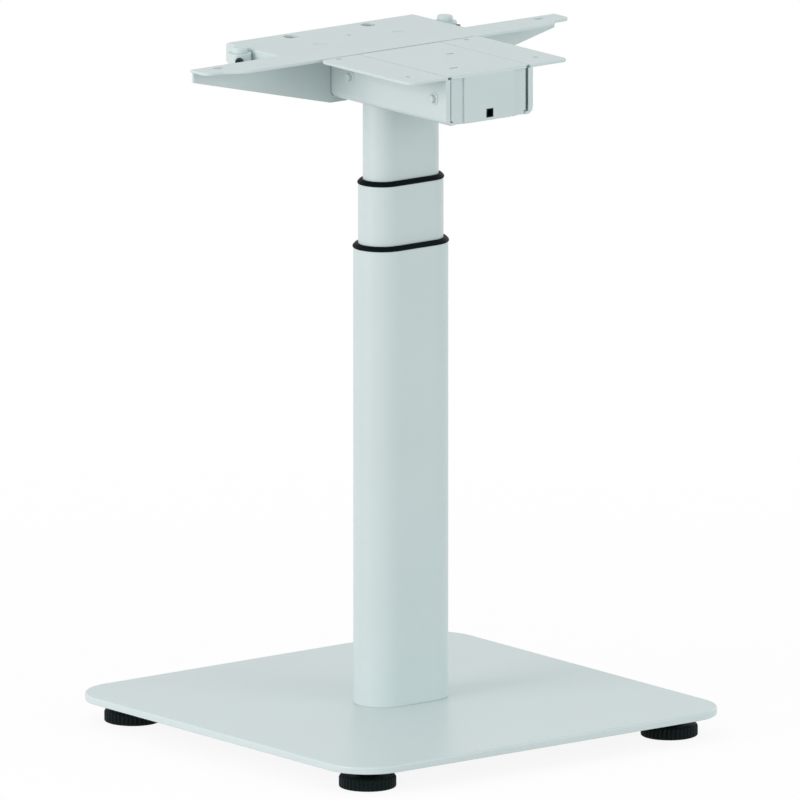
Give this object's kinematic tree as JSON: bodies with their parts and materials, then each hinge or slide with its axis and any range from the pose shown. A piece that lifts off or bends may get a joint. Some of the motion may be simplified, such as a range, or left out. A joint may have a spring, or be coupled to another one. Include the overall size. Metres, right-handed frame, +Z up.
{
  "type": "standing desk frame",
  "caption": "Electric sit-stand desk frame: square base on levelling feet, telescopic flat-oval column, and a motor head with arms that takes a tabletop.",
  "frame": {"origin": "on the floor, under the column's axis", "axes": "+Z up, +X along the arms to the sitter's right, -Y towards the sitter, where the cable port is"},
  "size_m": [0.5, 0.5, 0.728],
  "materials": {
    "pale_powder_coat": "fine satin powder coat on steel",
    "black_plastic": "moulded, fine matt",
    "slider_plastic": "natural acetal",
    "zinc_steel": "bright zinc",
    "black_steel": "black oxide",
    "bronze": "machined",
    "cast_aluminium": "die cast",
    "motor_steel": "dark passivated"
  },
  "bodies": {
    "base": {"base_plate": "pale_powder_coat", "foot_nuts": "zinc_steel", "column_bolts": "zinc_steel", "column_foot": "zinc_steel", "fixed_screw": "zinc_steel", "outer_tube": "pale_powder_coat", "lower_collar": "black_plastic"},
    "middle": {"middle_tube": "pale_powder_coat", "upper_collar": "black_plastic", "middle_slider": "slider_plastic", "bearing_block": "cast_aluminium", "screw_bearing": "zinc_steel"},
    "screw": {"hollow_screw": "zinc_steel", "lower_nut": "bronze", "hex_bush": "cast_aluminium"},
    "head": {"top_tube": "pale_powder_coat", "top_slider": "slider_plastic", "nut_block": "cast_aluminium", "upper_nut": "bronze", "tube_head_block": "zinc_steel", "head_bolts": "zinc_steel", "motor_channel": "pale_powder_coat", "wall_bolts": "pale_powder_coat", "motor_cover": "pale_powder_coat", "cable_port": "black_plastic", "rear_plate": "pale_powder_coat", "left_gusset": "pale_powder_coat", "right_gusset": "pale_powder_coat", "side_bosses": "pale_powder_coat", "boss_caps": "pale_powder_coat", "boss_screws": "black_steel", "gearbox_housing": "cast_aluminium", "gearbox_lid": "cast_aluminium", "gearbox_screws": "zinc_steel", "wheel_bearing": "zinc_steel", "motor_can": "motor_steel", "motor_end_cap": "motor_steel"},
    "drive": {"drive_tube": "zinc_steel", "worm_wheel": "bronze"},
    "worm": {"worm_shaft": "zinc_steel", "rotor": "motor_steel"},
    "stud_1": {"foot_stud_1": "zinc_steel"},
    "foot_1": {"foot_disc_1": "black_plastic"},
    "stud_2": {"foot_stud_2": "zinc_steel"},
    "foot_2": {"foot_disc_2": "black_plastic"},
    "stud_3": {"foot_stud_3": "zinc_steel"},
    "foot_3": {"foot_disc_3": "black_plastic"},
    "stud_4": {"foot_stud_4": "zinc_steel"},
    "foot_4": {"foot_disc_4": "black_plastic"}
  },
  "joints": [
    {"name": "middle_lift", "type": "slide", "parent": "base", "child": "middle", "axis": [0, 0, 1], "range_m": [-0.058, 0.267]},
    {"name": "head_lift", "type": "slide", "parent": "middle", "child": "head", "axis": [0, 0, 1], "range_m": [-0.058, 0.267]},
    {"name": "screw_turn", "type": "hinge", "parent": "middle", "child": "screw", "pos_m": [0, 0, 0.12], "axis": [0, 0, 1], "continuous": true},
    {"name": "drive_turn", "type": "hinge", "parent": "head", "child": "drive", "pos_m": [0, 0, 0.69], "axis": [0, 0, 1], "continuous": true},
    {"name": "worm_turn", "type": "hinge", "parent": "head", "child": "worm", "pos_m": [0.0234, -0.05, 0.7], "axis": [0, 1, 0], "continuous": true},
    {"name": "foot_1_drop", "type": "slide", "parent": "base", "child": "stud_1", "axis": [0, 0, -1], "range_m": [0, 0.005]},
    {"name": "foot_1_turn", "type": "hinge", "parent": "stud_1", "child": "foot_1", "pos_m": [0.2, 0.2, 0.007], "axis": [0, 0, -1], "range_deg": [0, 1200]},
    {"name": "foot_2_drop", "type": "slide", "parent": "base", "child": "stud_2", "axis": [0, 0, -1], "range_m": [0, 0.005]},
    {"name": "foot_2_turn", "type": "hinge", "parent": "stud_2", "child": "foot_2", "pos_m": [-0.2, 0.2, 0.007], "axis": [0, 0, -1], "range_deg": [0, 1200]},
    {"name": "foot_3_drop", "type": "slide", "parent": "base", "child": "stud_3", "axis": [0, 0, -1], "range_m": [0, 0.005]},
    {"name": "foot_3_turn", "type": "hinge", "parent": "stud_3", "child": "foot_3", "pos_m": [-0.2, -0.2, 0.007], "axis": [0, 0, -1], "range_deg": [0, 1200]},
    {"name": "foot_4_drop", "type": "slide", "parent": "base", "child": "stud_4", "axis": [0, 0, -1], "range_m": [0, 0.005]},
    {"name": "foot_4_turn", "type": "hinge", "parent": "stud_4", "child": "foot_4", "pos_m": [0.2, -0.2, 0.007], "axis": [0, 0, -1], "range_deg": [0, 1200]}
  ],
  "couplings": [
    {"joint": "head_lift", "follows": "middle_lift", "ratio": 1},
    {"joint": "screw_turn", "follows": "middle_lift", "rad_per_m": 392.7},
    {"joint": "drive_turn", "follows": "middle_lift", "rad_per_m": 392.7},
    {"joint": "worm_turn", "follows": "middle_lift", "rad_per_m": 4712.4},
    {"joint": "foot_1_drop", "follows": "foot_1_turn", "m_per_rad": 0.00023873},
    {"joint": "foot_2_drop", "follows": "foot_2_turn", "m_per_rad": 0.00023873},
    {"joint": "foot_3_drop", "follows": "foot_3_turn", "m_per_rad": 0.00023873},
    {"joint": "foot_4_drop", "follows": "foot_4_turn", "m_per_rad": 0.00023873}
  ]
}
